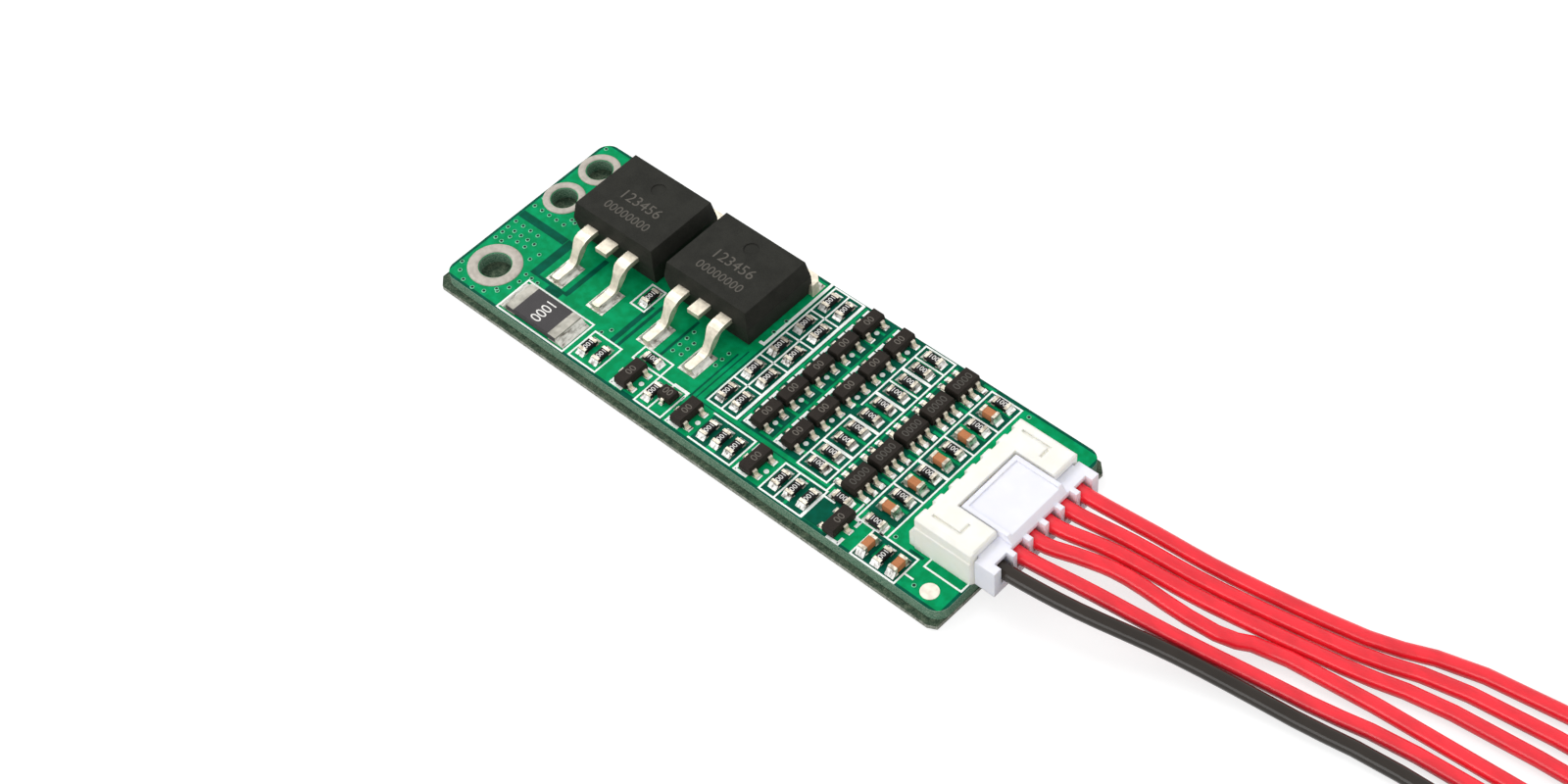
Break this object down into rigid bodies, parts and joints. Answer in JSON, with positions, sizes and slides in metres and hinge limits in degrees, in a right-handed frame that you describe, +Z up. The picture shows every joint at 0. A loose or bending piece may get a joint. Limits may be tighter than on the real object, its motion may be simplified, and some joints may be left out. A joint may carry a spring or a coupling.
{
  "type": "battery management board",
  "caption": "Green battery management board with power transistors, current shunt, rows of cell circuits, a side-entry header and a plugged-in lead with loose wires.",
  "frame": {"origin": "middle of the underside of the insulating sheet, which the board rests on", "axes": "+X from the wire holes towards the header, +Y from the near long edge towards the far long edge, +Z up"},
  "size_m": [0.1607, 0.0295, 0.0061],
  "materials": {
    "green_board": "glossy solder mask",
    "fibre_sheet": "dull fibre sheet",
    "tin": "bright tinned",
    "black_mould": "matte mould",
    "ceramic_black": "glazed",
    "ceramic_brown": "fired ceramic",
    "ivory_nylon": "satin",
    "white_nylon": "satin",
    "red_insulation": "silicone sheen",
    "black_insulation": "silicone sheen"
  },
  "bodies": {
    "root": {"board": "green_board", "insulating_sheet": "fibre_sheet", "main_pad_ring": "tin", "side_pad_rings": "tin", "test_pad": "tin", "mosfet_1_body": "black_mould", "mosfet_1_tab": "tin", "mosfet_1_leads": "tin", "mosfet_2_body": "black_mould", "mosfet_2_tab": "tin", "mosfet_2_leads": "tin", "mosfet_solder": "tin", "shunt_body": "ceramic_black", "shunt_terminals": "tin", "shunt_solder": "tin", "cell_resistors": "ceramic_black", "cell_resistor_ends": "tin", "cell_resistor_solder": "tin", "pair_resistors": "ceramic_black", "pair_resistor_ends": "tin", "pair_resistor_solder": "tin", "filter_resistors": "ceramic_black", "filter_resistor_ends": "tin", "filter_capacitors": "ceramic_brown", "filter_capacitor_ends": "tin", "filter_solder": "tin", "edge_resistors": "ceramic_black", "edge_resistor_ends": "tin", "edge_capacitors": "ceramic_brown", "edge_capacitor_ends": "tin", "edge_solder": "tin", "transistor_bodies_1": "black_mould", "transistor_leads_1": "tin", "transistor_bodies_2": "black_mould", "transistor_leads_2": "tin", "transistor_solder": "tin", "edge_transistor_bodies": "black_mould", "edge_transistor_leads": "tin", "edge_transistor_solder": "tin", "cell_chip_bodies": "black_mould", "cell_chip_leads": "tin", "cell_chip_solder": "tin", "header_housing": "ivory_nylon", "header_pins": "tin", "header_solder": "tin", "plug_housing": "white_nylon", "plug_contacts": "tin", "wire_1": "black_insulation", "wire_2": "red_insulation", "wire_3": "red_insulation", "wire_4": "red_insulation", "wire_5": "red_insulation", "wire_6": "red_insulation"}
  },
  "joints": []
}
